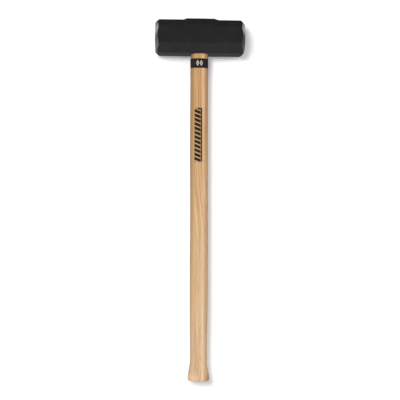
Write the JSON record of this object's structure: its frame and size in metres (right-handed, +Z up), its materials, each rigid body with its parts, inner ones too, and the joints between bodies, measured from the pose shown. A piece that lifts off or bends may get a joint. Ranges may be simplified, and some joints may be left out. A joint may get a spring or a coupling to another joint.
{
  "type": "sledgehammer",
  "caption": "Long-handled double-face sledgehammer: octagonal forged head with a raised eye boss, wedged onto an oval wooden handle with a swelled end.",
  "frame": {"origin": "centre of the head's underside flat, on the handle's axis", "axes": "+Z up the handle and through the head, +X along the head towards one striking face, -Y out of the cheek on the side of the handle's print"},
  "size_m": [0.22, 0.0816, 0.8844],
  "materials": {
    "head_paint": "semi-matte black paint over forged steel, with the chamfers and striking faces ground bare",
    "handle_wood": "straight-grained hickory under thin satin lacquer",
    "wedge_wood": "sawn hardwood, bare",
    "wedge_steel": "bare stamped steel, dulled",
    "band_film": "satin black film with a pale printed mark"
  },
  "bodies": {
    "root": {"head": "head_paint", "handle": "handle_wood", "wooden_wedge": "wedge_wood", "steel_wedge_left": "wedge_steel", "steel_wedge_right": "wedge_steel", "weight_band": "band_film"}
  },
  "joints": []
}
